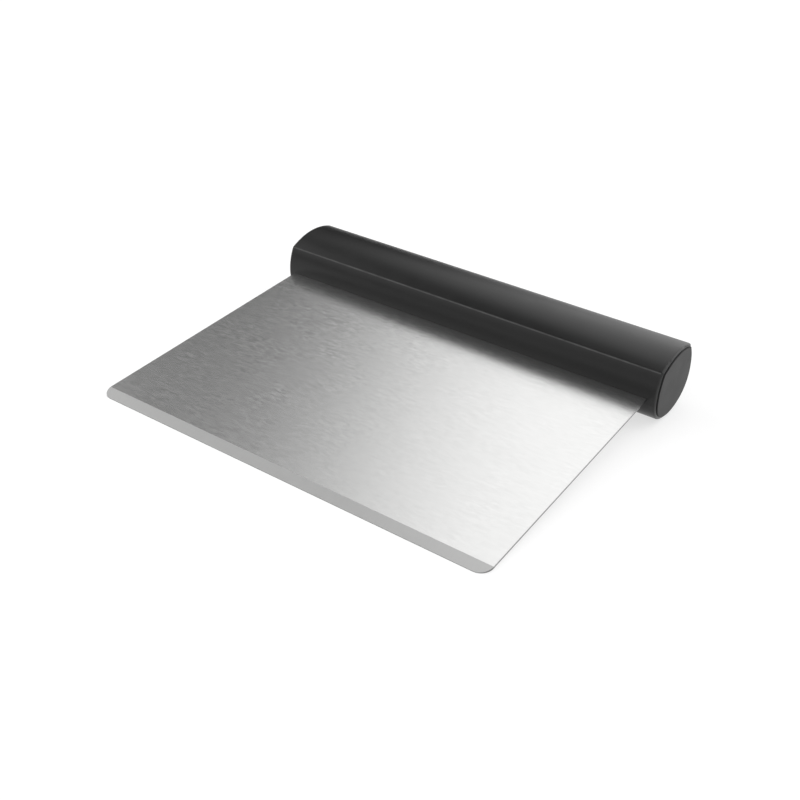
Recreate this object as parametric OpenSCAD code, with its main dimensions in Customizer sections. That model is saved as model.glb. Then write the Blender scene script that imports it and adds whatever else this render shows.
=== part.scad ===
// Bench and pan scraper: a flat steel blade with a ground front edge, held by its tang in a long moulded grip.
// It lies as it does on a table: the bottom of the blade's front edge and the sole of the grip touch z = 0.
// X runs along the grip, Y from the front edge to the grip. The origin is under the middle of the whole tool.

/* [Blade] */
// Width of the blade, along its front edge
blade_w = 152.4; // [120:0.1:190]
// Reach of the blade, from its front edge to the front of the grip
blade_reach = 102.6; // [75:0.1:140]
// Thickness of the blade's sheet
blade_t = 0.8; // [0.6:0.05:1.6]
// Width of the bevel that is ground into the top of the front edge
bevel_w = 4.3; // [2.5:0.1:8]
// Height of the flat that the bevel leaves on the front edge
edge_land = 0.2; // [0.1:0.05:0.4]
// Radius of the blade's two front corners
front_corner_r = 4.3; // [2:0.1:12]

/* [Tang] */
// Depth of the tang, from the front of the grip to its rear edge
tang_depth = 20; // [18:0.5:22]
// Radius of the tang's two rear corners
tang_corner_r = 4; // [1:0.1:8]
// Number of locking holes in the tang
lock_count = 5; // [3:2:7]
// Diameter of the locking holes
lock_d = 7; // [4:0.1:9]
// Distance from one locking hole to the next
lock_pitch = 28; // [14:0.5:30]
// Distance from the front of the grip to the middle of the locking holes
lock_inset = 11; // [9.5:0.1:12.5]
// Gap between the tang and the plastic that is moulded round it
tang_fit = 0.05; // [0.02:0.01:0.2]

/* [Grip section] */
// Width of the grip, from front to back
grip_w = 28.8; // [26:0.1:34]
// Height of the grip above the middle of the blade's sheet
grip_rise = 12.5; // [11.5:0.1:15]
// Height of the grip below the middle of the blade's sheet
grip_drop = 12.5; // [11.5:0.1:15]
// Radius of the crowned top
crown_r = 28; // [24:0.5:60]
// Radius of the two ridges between the top and the sides
ridge_r = 1.3; // [1.3:0.1:4]
// Radius of the front and the back
side_r = 19; // [17:0.5:30]
// Radius of the rounds between the sides and the sole
lower_r = 11; // [9:0.1:12]
// Radius of the sole
sole_r = 20; // [17:0.5:40]

/* [Grip body] */
// Length of the grip past the blade at each end
end_overhang = 3.2; // [3:0.1:8]
// Radius of the rounded rim at each end
rim_r = 0.8; // [0.5:0.1:0.9]
// Thickness of the wall round the cored pockets
wall = 2.8; // [2.2:0.1:3.6]
// Thickness of the plastic above and below the tang
tang_cover = 2.2; // [1.6:0.1:3]
// Thickness of the upright rib between the front and rear pockets
spine_t = 2.4; // [1.6:0.1:4]
// Thickness of the cross wall in the middle of the grip
mid_wall_t = 6; // [3:0.5:12]
// Radius of the inner corners of pockets and seats
inner_r = 0.6; // [0.4:0.1:1]

/* [End caps] */
// Thickness of the grip's rim round each cap
rim_wall = 1; // [0.95:0.05:1.6]
// Thickness of a cap's plate
cap_t = 2.2; // [1.6:0.1:2.6]
// Height of a cap's face above the grip's rim
cap_proud = 0.5; // [0.2:0.1:0.8]
// Gap round a cap's plate
cap_gap = 0.1; // [0.05:0.05:0.25]
// Radius of the edge round a cap's face
cap_edge_r = 0.15; // [0.1:0.05:0.2]
// Length of the skirts behind a cap's plate
skirt_l = 9; // [4:0.5:20]
// Thickness of the skirts
skirt_t = 1.4; // [1:0.1:1.8]
// Gap between a skirt and its pocket
skirt_gap = 0.1; // [0.05:0.05:0.25]

/* [Hidden] */
$fn = 144;

// Length by which a cutting solid runs past what it cuts
past = 1;
// Height by which the rounds stay below the surfaces that they join
blend_step = 0.01;
// Size that is larger than any cross-section of the grip
reach_out = 80;

grip_l = blade_w + 2 * end_overhang;
seat_depth = cap_t - cap_proud;
blade_l = blade_reach + tang_depth;
section_y = blade_reach + grip_w / 2;
section_z = blade_t / 2;
web_half = blade_t / 2 + tang_cover;

// Centres and radii of the arcs that make the section, in the section's own plane, with its wall taken in by inset
crown_c = [0, grip_rise - crown_r];
sole_c = [0, sole_r - grip_drop];
side_c = [side_r - grip_w / 2, 0];
function ridge_radius(inset) = max(ridge_r - inset, inner_r);
function lower_radius(inset) = lower_r - inset;
function ridge_c(inset) = circle_meet(
    crown_c, crown_r - inset - ridge_radius(inset),
    side_c, side_r - inset - ridge_radius(inset));
function lower_c(inset) = circle_meet(
    side_c, side_r - inset - lower_radius(inset),
    sole_c, sole_r - inset - lower_radius(inset));

// Point at distance ra from a and rb from b, on the left of the way from a to b
function circle_meet(a, ra, b, rb) =
    let (
        span = norm(b - a),
        along = (ra * ra - rb * rb + span * span) / (2 * span),
        aside = sqrt(max(ra * ra - along * along, 0)),
        dir = (b - a) / span
    )
    a + along * dir + aside * [-dir[1], dir[0]];

// Direction from one point to another, in degrees
function heading(from, to) = atan2(to[1] - from[1], to[0] - from[0]);

// Angle at which the tool lies: the table line runs from the front edge to where it touches the sole
sole_from_edge = [section_y, section_z + sole_c[1]];
tilt = asin(sole_r / norm(sole_from_edge)) - atan2(sole_from_edge[1], sole_from_edge[0]);
back_c = [section_y - side_c[0], section_z];
front_y = -edge_land * sin(tilt);
back_y = back_c[0] * cos(tilt) - back_c[1] * sin(tilt) + side_r;

// Puts the tool down on the table, with the origin under its middle
module laid_down()
    translate([0, -(front_y + back_y) / 2, 0])
        rotate([tilt, 0, 0])
            children();

// Turns a form that stands on the section's plane to lie along the grip
module along_grip()
    translate([0, section_y, section_z])
        rotate([90, 0, 90])
            children();

// Disc of the section, as tall as length, with its two rims rounded by rim
module rounded_disc(centre, r, length, rim)
    translate(centre)
        rotate_extrude()
            difference() {
                translate([0, -length / 2])
                    square([r, length]);
                for (end = [-1, 1])
                    rim_bit(r, end * length / 2, rim, end);
            }

// What is taken off the rim of a disc to round it
module rim_bit(r, y, rim, end)
    difference() {
        translate([r - rim, end > 0 ? y - rim : y - past])
            square([rim + past, rim + past]);
        translate([r - rim, y - end * rim])
            circle(rim);
    }

// Wedge from a round's centre that covers the round, from one direction to the other
module round_wedge(centre, from, to)
    let (middle = (from + to) / 2)
    translate(centre)
        polygon([
            [0, 0],
            reach_out * [cos(from), sin(from)],
            reach_out * [cos(middle), sin(middle)],
            reach_out * [cos(to), sin(to)]
        ]);

// Directions in which the ridge and the lower round start and end
function ridge_from(inset) = heading(crown_c, ridge_c(inset));
function ridge_to(inset) = heading(side_c, ridge_c(inset));
function lower_from(inset) = heading(side_c, lower_c(inset)) + 360;
function lower_to(inset) = heading(sole_c, lower_c(inset)) + 360;

// The grip's form, taken in by inset and as long as length, with both ends rounded by rim
module grip_form(inset, length, rim)
    difference() {
        intersection() {
            rounded_disc(crown_c, crown_r - inset, length, rim);
            rounded_disc(sole_c, sole_r - inset, length, rim);
            rounded_disc(side_c, side_r - inset, length, rim);
            rounded_disc([-side_c[0], side_c[1]], side_r - inset, length, rim);
        }
        for (flip = [0, 1])
            mirror([flip, 0, 0]) {
                round_bit(ridge_c(inset), ridge_radius(inset), ridge_from(inset), ridge_to(inset), length, rim);
                round_bit(lower_c(inset), lower_radius(inset), lower_from(inset), lower_to(inset), length, rim);
            }
    }

// What is taken off along the grip to round it: a wedge without its rounded disc
module round_bit(centre, r, from, to, length, rim)
    difference() {
        linear_extrude(length + 2 * past, center = true)
            round_wedge(centre, from, to);
        rounded_disc(centre, r - blend_step, length, rim);
    }

// The section as a flat outline, taken in by inset
module section_outline(inset)
    difference() {
        intersection() {
            translate(crown_c)
                circle(crown_r - inset);
            translate(sole_c)
                circle(sole_r - inset);
            translate(side_c)
                circle(side_r - inset);
            translate([-side_c[0], side_c[1]])
                circle(side_r - inset);
        }
        for (flip = [0, 1])
            mirror([flip, 0]) {
                outline_bit(ridge_c(inset), ridge_radius(inset), ridge_from(inset), ridge_to(inset));
                outline_bit(lower_c(inset), lower_radius(inset), lower_from(inset), lower_to(inset));
            }
    }

// What is taken off the outline to round it
module outline_bit(centre, r, from, to)
    difference() {
        round_wedge(centre, from, to);
        translate(centre)
            circle(r - blend_step);
    }

// Outlines of the four pockets that lie round the tang's web and the spine, taken in by inset from the pocket walls
module pocket_outlines(inset)
    intersection() {
        section_outline(wall + inset);
        for (flip_y = [0, 1], flip_z = [0, 1])
            mirror([flip_y, 0])
                mirror([0, flip_z])
                    translate([spine_t / 2 + inset, web_half + inset])
                        square(reach_out);
    }

// What is taken off a right-angled corner at the origin, pointing to -X and -Y, to round it
module corner_bit(r)
    difference() {
        translate([-past, -past])
            square(r + past);
        translate([r, r])
            circle(r);
    }

// Outline of the blade with its tang, seen from above, grown by grow on its sides and rear
module blade_outline(grow)
    difference() {
        translate([-blade_w / 2 - grow, 0])
            square([blade_w + 2 * grow, blade_l + grow]);
        for (flip = [0, 1])
            mirror([flip, 0]) {
                translate([-blade_w / 2, 0])
                    corner_bit(front_corner_r);
                translate([-blade_w / 2 - grow, blade_l + grow])
                    mirror([0, 1])
                        corner_bit(tang_corner_r + grow);
            }
    }

// The locking holes, or the studs that fill them
module lock_row(d)
    for (i = [0 : lock_count - 1])
        translate([(i - (lock_count - 1) / 2) * lock_pitch, blade_reach + lock_inset])
            circle(d = d);

// The space that the tang takes in the grip, with the studs left standing in it
module tang_slot()
    translate([0, 0, -tang_fit])
        linear_extrude(blade_t + 2 * tang_fit)
            difference() {
                blade_outline(tang_fit);
                lock_row(lock_d - 2 * tang_fit);
            }

module blade()
    color("lightsteelblue")
        laid_down()
            difference() {
                linear_extrude(blade_t)
                    difference() {
                        blade_outline(0);
                        lock_row(lock_d);
                    }
                rotate([90, 0, 90])
                    linear_extrude(blade_w + 2 * past, center = true)
                        polygon([
                            [0, edge_land],
                            [bevel_w, blade_t],
                            [bevel_w, blade_t + past],
                            [-past, blade_t + past],
                            [-past, edge_land]
                        ]);
            }

module grip()
    color("dimgray")
        laid_down()
            difference() {
                along_grip()
                    grip_form(0, grip_l, rim_r);
                tang_slot();
                along_grip()
                    for (end = [0, 1])
                        mirror([0, 0, end]) {
                            translate([0, 0, mid_wall_t / 2])
                                linear_extrude(grip_l / 2)
                                    pocket_outlines(0);
                            translate([0, 0, grip_l / 2 - seat_depth])
                                linear_extrude(seat_depth + past)
                                    section_outline(rim_wall);
                        }
            }

// One cap, for the end at +X: a plate in its seat and four skirts that plug the pockets
module end_cap()
    laid_down()
        along_grip()
            translate([0, 0, grip_l / 2 - seat_depth]) {
                intersection() {
                    grip_form(rim_wall + cap_gap, 2 * cap_t, cap_edge_r);
                    linear_extrude(cap_t)
                        square(2 * reach_out, center = true);
                }
                translate([0, 0, -skirt_l])
                    linear_extrude(skirt_l)
                        difference() {
                            pocket_outlines(skirt_gap);
                            pocket_outlines(skirt_gap + skirt_t);
                        }
            }

module left_end_cap()
    color("gray")
        mirror([1, 0, 0])
            end_cap();

module right_end_cap()
    color("gray")
        end_cap();

blade();
grip();
left_end_cap();
right_end_cap();
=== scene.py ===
import math

import bpy
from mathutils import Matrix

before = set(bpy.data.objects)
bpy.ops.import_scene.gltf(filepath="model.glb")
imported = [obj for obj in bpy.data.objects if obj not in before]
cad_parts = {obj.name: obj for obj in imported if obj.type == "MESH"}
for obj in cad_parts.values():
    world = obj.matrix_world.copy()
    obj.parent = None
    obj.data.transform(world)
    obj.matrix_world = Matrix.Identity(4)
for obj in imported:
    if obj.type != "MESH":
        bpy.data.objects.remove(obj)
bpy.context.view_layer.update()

# Lengths are in metres. The blade, the grip and the two end caps are the CAD solids themselves: this script
# gives them their materials, and adds only a floor, a sky and the camera.
MM = 0.001

# How the blade lies: its slope to the floor, its front edge and the width of its bevel
TILT = math.radians(5.957)
FRONT_Y = -65.386 * MM
BEVEL_W = 4.3 * MM
BEVEL_BLUR = 0.02 * MM

# Noise patterns, fixed to the object: repeats per metre along X, Y and Z, detail, roughness, distortion
STEEL_GRAIN = ((240.0, 700.0, 240.0), 1.0, 0.4, 0.8)
STEEL_CLOUDS = ((60.0, 60.0, 60.0), 3.0, 0.5, 0.0)
BEVEL_LINES = ((2600.0, 300.0, 300.0), 2.0, 0.5, 0.0)
BRUSH_MARKS = ((290.0, 820.0, 290.0), 1.0, 0.5, 0.6)
MARK_PATCHES = ((90.0, 90.0, 90.0), 1.0, 0.5, 0.0)
HIGHLIGHT_SPOTS = ((220.0, 60.0, 60.0), 2.0, 0.5, 0.0)
PLASTIC_GRAIN = ((4200.0, 4200.0, 4200.0), 2.0, 0.5, 0.0)
PLASTIC_CLOUDS = ((140.0, 140.0, 140.0), 3.0, 0.5, 0.0)
NOISE_LOW = 0.3
NOISE_HIGH = 0.7

# Steel: its two tones, and the share of them that is left in a brush mark, on the bevel and on a cut edge
STEEL_DARK = (0.682, 0.682, 0.677)
STEEL_LIGHT = (0.704, 0.704, 0.699)
MARK_SHADE = 0.76
BEVEL_SHADE = 0.84
EDGE_SHADE = 0.45
FLAT_ROUGH = (0.235, 0.265)
BEVEL_ROUGH = (0.40, 0.50)
FLAT_BUMP = 0.12
BEVEL_BUMP = 0.1
STEEL_DEPTH = 0.1 * MM

# Brush marks: plain on the left (from X = MARKS_FULL), faint on the right (from X = MARKS_FAINT)
MARKS_FAINT = 25.0 * MM
MARKS_FULL = -35.0 * MM
FAINT_SHARE = 0.2
PATCH_SHARE = (0.1, 1.0)
BEVEL_MARKS = 0.5
MARK_MIDDLE = 0.5

# A face of the blade counts as a cut edge where its normal leans this far from the blade's own
EDGE_COSINES = (0.6, 0.4)

# Painted highlight on the grip, a lighter colour standing in for the light its edges catch: on its two
# ridges, by their angle round the section, and on the rims at its ends
RIDGE_ANGLES = (137.0, 43.0)
RIDGE_BAND = (0.958, 0.995)
RIM_BAND = (0.25, 0.75)
RIM_HIGHLIGHT = 0.7
HIGHLIGHT_SHARE = (0.45, 1.0)

# Plastics: colour, roughness from and to, gloss, and the colour of the painted highlight on ridges and rims
GRIP_PLASTIC = ((0.006, 0.006, 0.006), (0.28, 0.32), 0.38, (0.05, 0.05, 0.05))
CAP_PLASTIC = ((0.012, 0.012, 0.012), (0.44, 0.48), 0.25, None)
CLOUD_TONES = (0.9, 1.1)
PLASTIC_BUMP = 0.25
PLASTIC_DEPTH = 0.02 * MM

# Soft lights in the studio's sky: azimuth, elevation, cosine at the edge, cosine at the core, strength.
# Their sum is cut at SKY_TOP, so that the steel doesn't turn white in another view.
AMBIENT = 0.010
LOBES = [
    (75.1, 45.7, 0.672, 0.855, 1.60),
    (69.4, 13.3, 0.627, 0.823, 0.99),
    (188.2, 24.0, 0.791, 0.878, 1.25),
    (164.0, 36.9, 0.883, 0.950, 0.23),
    (229.7, 31.0, 0.910, 0.961, 1.20),
    (0.0, 90.0, 0.80, 1.0, 0.27),
    (-50.0, 45.0, 0.50, 1.0, 0.7),
    (-90.0, 15.0, 0.55, 1.0, 0.7),
]
SKY_TOP = 1.6
BACKDROP = 1.0

# Floor: its tone in the light it throws back, and its tone and glow where the camera or a reflection sees it
FLOOR_HALF = 4.0
FLOOR_TONE = 0.8
FLOOR_SHADE = 0.4
FLOOR_GLOW = 0.64

# The photograph's camera: lens and film width in millimetres, place in metres, turns in degrees
LENS = 50.0
FILM_WIDTH = 36.0
NEAREST = 0.01
CAMERA_PLACE = (0.18488, -0.27966, 0.19366)
CAMERA_TURNS = (59.6882, -3.2872, 35.1535)


# ------------------------------------------------------------ node helpers

def new_material(name):
    mat = bpy.data.materials.new(name)
    mat.use_nodes = True
    mat.node_tree.nodes.clear()
    return mat, mat.node_tree


def add(tree, kind, **values):
    """A new node, with its own properties set."""
    node = tree.nodes.new(kind)
    for key, value in values.items():
        setattr(node, key, value)
    return node


def feed(tree, socket, value):
    """Put a number, a vector, a colour or another node's output into a socket."""
    if isinstance(value, bpy.types.NodeSocket):
        tree.links.new(value, socket)
    else:
        socket.default_value = value


def grey(level):
    return (level, level, level)


def opaque(colour):
    return tuple(colour) + (1.0,)


def coordinate(tree, kind):
    """Object is the place on the object, Normal its normal, and Generated the direction in the sky."""
    return add(tree, "ShaderNodeTexCoord").outputs[kind]


def along(tree, vector, axis):
    """The dot product of a vector and a fixed axis."""
    node = add(tree, "ShaderNodeVectorMath", operation="DOT_PRODUCT")
    feed(tree, node.inputs[0], vector)
    feed(tree, node.inputs[1], axis)
    return node.outputs["Value"]


def part(tree, vector, letter):
    """The X, Y or Z of a vector."""
    node = add(tree, "ShaderNodeSeparateXYZ")
    feed(tree, node.inputs["Vector"], vector)
    return node.outputs[letter]


def maths(tree, operation, *values):
    node = add(tree, "ShaderNodeMath", operation=operation)
    for socket, value in zip(node.inputs, values):
        feed(tree, socket, value)
    return node.outputs["Value"]


def ramp(tree, value, start, end, low=0.0, high=1.0, kind="LINEAR"):
    """Low up to start, high from end on, and a straight or smooth slope between them."""
    node = add(tree, "ShaderNodeMapRange", interpolation_type=kind)
    feed(tree, node.inputs["From Min"], start)
    feed(tree, node.inputs["From Max"], end)
    feed(tree, node.inputs["To Min"], low)
    feed(tree, node.inputs["To Max"], high)
    feed(tree, node.inputs["Value"], value)
    return node.outputs["Result"]


def pick(tree, mask, off, on):
    """The number off where the mask is 0, and on where it is 1."""
    node = add(tree, "ShaderNodeMix", data_type="FLOAT")
    feed(tree, node.inputs["Factor"], mask)
    feed(tree, node.inputs["A"], off)
    feed(tree, node.inputs["B"], on)
    return node.outputs["Result"]


def pick_colour(tree, mask, off, on, how="MIX"):
    """The colour off where the mask is 0, and on, or off times on, where it is 1."""
    node = add(tree, "ShaderNodeMix", data_type="RGBA", blend_type=how)
    feed(tree, node.inputs["Factor"], mask)
    feed(tree, node.inputs["A"], off)
    feed(tree, node.inputs["B"], on)
    return node.outputs["Result"]


def darken(tree, colour, mask, share):
    return pick_colour(tree, mask, colour, opaque(grey(share)), "MULTIPLY")


def noise(tree, pattern):
    repeats, detail, rough, distortion = pattern
    fit = add(tree, "ShaderNodeMapping")
    feed(tree, fit.inputs["Scale"], repeats)
    feed(tree, fit.inputs["Vector"], coordinate(tree, "Object"))
    node = add(tree, "ShaderNodeTexNoise")
    feed(tree, node.inputs["Scale"], 1.0)
    feed(tree, node.inputs["Detail"], detail)
    feed(tree, node.inputs["Roughness"], rough)
    feed(tree, node.inputs["Distortion"], distortion)
    feed(tree, node.inputs["Vector"], fit.outputs["Vector"])
    return node.outputs["Fac"]


def spread(tree, pattern, low, high):
    """Stretch a noise from its usual range to low and high."""
    return ramp(tree, pattern, NOISE_LOW, NOISE_HIGH, low, high)


def roughen(tree, shader, height, strength, distance):
    bump = add(tree, "ShaderNodeBump")
    feed(tree, bump.inputs["Strength"], strength)
    feed(tree, bump.inputs["Distance"], distance)
    feed(tree, bump.inputs["Height"], height)
    feed(tree, shader.inputs["Normal"], bump.outputs["Normal"])


def close(tree, kind, surface):
    """End a material or a world with its output node."""
    out = add(tree, kind)
    feed(tree, out.inputs["Surface"], surface)


# ------------------------------------------------------------------- steel

def on_bevel(tree):
    """1 on the strip along the blade's front edge, as wide as the bevel."""
    backward = (0.0, math.cos(TILT), math.sin(TILT))
    line = FRONT_Y * math.cos(TILT) + BEVEL_W
    depth = along(tree, coordinate(tree, "Object"), backward)
    return ramp(tree, depth, line + BEVEL_BLUR, line - BEVEL_BLUR)


def on_edge(tree):
    """1 on the blade's cut edges, which face away from its own normal."""
    upward = (0.0, -math.sin(TILT), math.cos(TILT))
    facing = maths(tree, "ABSOLUTE", along(tree, coordinate(tree, "Normal"), upward))
    return ramp(tree, facing, *EDGE_COSINES)


def brush_marks(tree):
    """Short soft marks along the grain, in patches, most of them on the blade's left half."""
    across = part(tree, coordinate(tree, "Object"), "X")
    side = ramp(tree, across, MARKS_FAINT, MARKS_FULL, FAINT_SHARE, 1.0, "SMOOTHSTEP")
    patches = spread(tree, noise(tree, MARK_PATCHES), *PATCH_SHARE)
    marks = spread(tree, noise(tree, BRUSH_MARKS), 0.0, 1.0)
    return pick(tree, maths(tree, "MULTIPLY", side, patches), MARK_MIDDLE, marks)


def brushed_steel():
    mat, tree = new_material("blade_steel")
    shader = add(tree, "ShaderNodeBsdfPrincipled")
    feed(tree, shader.inputs["Metallic"], 1.0)
    bevel = on_bevel(tree)
    grain = noise(tree, STEEL_GRAIN)
    lines = noise(tree, BEVEL_LINES)
    tone = pick_colour(tree, noise(tree, STEEL_CLOUDS), opaque(STEEL_DARK), opaque(STEEL_LIGHT))
    tone = darken(tree, tone, pick(tree, bevel, brush_marks(tree), BEVEL_MARKS), MARK_SHADE)
    tone = darken(tree, tone, bevel, BEVEL_SHADE)
    tone = darken(tree, tone, on_edge(tree), EDGE_SHADE)
    feed(tree, shader.inputs["Base Color"], tone)
    satin = spread(tree, grain, *FLAT_ROUGH)
    ground = spread(tree, lines, *BEVEL_ROUGH)
    feed(tree, shader.inputs["Roughness"], pick(tree, bevel, satin, ground))
    strength = pick(tree, bevel, FLAT_BUMP, BEVEL_BUMP)
    roughen(tree, shader, pick(tree, bevel, grain, lines), strength, STEEL_DEPTH)
    close(tree, "ShaderNodeOutputMaterial", shader.outputs["BSDF"])
    return mat


# ---------------------------------------------------------------- plastics

def on_rim_highlight(tree):
    """Painted highlight mask: most on the rounds at the grip's two ends, and none along the grip."""
    facing = maths(tree, "ABSOLUTE", part(tree, coordinate(tree, "Normal"), "X"))
    return ramp(tree, facing, *RIM_BAND, 0.0, RIM_HIGHLIGHT, "SMOOTHSTEP")


def on_ridge_highlight(tree):
    """Painted highlight mask: near 1 where a normal points the way that one of the two ridges does."""
    normal = coordinate(tree, "Normal")
    turns = [math.radians(angle) + TILT for angle in RIDGE_ANGLES]
    facing = [along(tree, normal, (0.0, math.cos(turn), math.sin(turn))) for turn in turns]
    return ramp(tree, maths(tree, "MAXIMUM", *facing), *RIDGE_BAND, 0.0, 1.0, "SMOOTHSTEP")


def painted_highlights(tree):
    """Painted highlight on the ridges and rims, uneven along them."""
    uneven = spread(tree, noise(tree, HIGHLIGHT_SPOTS), *HIGHLIGHT_SHARE)
    return maths(tree, "MULTIPLY", maths(tree, "MAXIMUM", on_ridge_highlight(tree), on_rim_highlight(tree)), uneven)


def matt_plastic(name, colour, rough, gloss, highlight_colour):
    mat, tree = new_material(name)
    shader = add(tree, "ShaderNodeBsdfPrincipled")
    feed(tree, shader.inputs["Specular IOR Level"], gloss)
    clouds = noise(tree, PLASTIC_CLOUDS)
    dark, light = [opaque(share * level for level in colour) for share in CLOUD_TONES]
    tone = pick_colour(tree, clouds, dark, light)
    # Painted highlight: the ridges and rims get a lighter colour that stands in for the light they catch
    if highlight_colour:
        tone = pick_colour(tree, painted_highlights(tree), tone, opaque(highlight_colour))
    feed(tree, shader.inputs["Base Color"], tone)
    feed(tree, shader.inputs["Roughness"], spread(tree, clouds, *rough))
    roughen(tree, shader, noise(tree, PLASTIC_GRAIN), PLASTIC_BUMP, PLASTIC_DEPTH)
    close(tree, "ShaderNodeOutputMaterial", shader.outputs["BSDF"])
    return mat


def dress(node, mat):
    obj = bpy.data.objects[node]
    if not obj.data.materials:
        obj.data.materials.append(mat)
    for slot in obj.material_slots:
        slot.material = mat


# ------------------------------------------------------------ stage, light

def floor_material():
    mat, tree = new_material("studio_floor")
    path = add(tree, "ShaderNodeLightPath")
    seen = maths(tree, "MAXIMUM", path.outputs["Is Camera Ray"], path.outputs["Is Glossy Ray"])
    lit = add(tree, "ShaderNodeBsdfDiffuse")
    tone = pick_colour(tree, seen, opaque(grey(FLOOR_TONE)), opaque(grey(FLOOR_SHADE)))
    feed(tree, lit.inputs["Color"], tone)
    glow = add(tree, "ShaderNodeEmission")
    feed(tree, glow.inputs["Strength"], maths(tree, "MULTIPLY", seen, FLOOR_GLOW))
    both = add(tree, "ShaderNodeAddShader")
    feed(tree, both.inputs[0], lit.outputs["BSDF"])
    feed(tree, both.inputs[1], glow.outputs["Emission"])
    close(tree, "ShaderNodeOutputMaterial", both.outputs["Shader"])
    return mat


def make_floor():
    corners = [(x * FLOOR_HALF, y * FLOOR_HALF, 0.0) for x, y in ((-1, -1), (1, -1), (1, 1), (-1, 1))]
    mesh = bpy.data.meshes.new("floor")
    mesh.from_pydata(corners, [], [(0, 1, 2, 3)])
    floor = bpy.data.objects.new("floor", mesh)
    bpy.context.scene.collection.objects.link(floor)
    floor.data.materials.append(floor_material())


def lobe(tree, direction, azimuth, elevation, edge, core, strength):
    """One soft round light: full inside its core, and none outside its edge."""
    turn = math.radians(azimuth)
    rise = math.radians(elevation)
    axis = (math.cos(turn) * math.cos(rise), math.sin(turn) * math.cos(rise), math.sin(rise))
    return ramp(tree, along(tree, direction, axis), edge, core, 0.0, strength, "SMOOTHSTEP")


def make_world():
    world = bpy.data.worlds.new("studio")
    world.use_nodes = True
    tree = world.node_tree
    tree.nodes.clear()
    direction = coordinate(tree, "Generated")
    total = AMBIENT
    for light in LOBES:
        total = maths(tree, "ADD", total, lobe(tree, direction, *light))
    sky = maths(tree, "MINIMUM", total, SKY_TOP)
    path = add(tree, "ShaderNodeLightPath")
    back = add(tree, "ShaderNodeBackground")
    feed(tree, back.inputs["Color"], opaque(grey(1.0)))
    feed(tree, back.inputs["Strength"], pick(tree, path.outputs["Is Camera Ray"], sky, BACKDROP))
    close(tree, "ShaderNodeOutputWorld", back.outputs["Background"])
    bpy.context.scene.world = world


def make_camera():
    data = bpy.data.cameras.new("photo_camera")
    data.lens = LENS
    data.sensor_width = FILM_WIDTH
    data.clip_start = NEAREST
    camera = bpy.data.objects.new("photo_camera", data)
    camera.location = CAMERA_PLACE
    camera.rotation_euler = [math.radians(turn) for turn in CAMERA_TURNS]
    bpy.context.scene.collection.objects.link(camera)
    bpy.context.scene.camera = camera


# -------------------------------------------------------------------- main

bpy.context.scene.view_settings.view_transform = "Standard"
make_camera()
make_world()
make_floor()
dress("blade", brushed_steel())
dress("grip", matt_plastic("grip_plastic", *GRIP_PLASTIC))
cap_material = matt_plastic("cap_plastic", *CAP_PLASTIC)
dress("left_end_cap", cap_material)
dress("right_end_cap", cap_material)
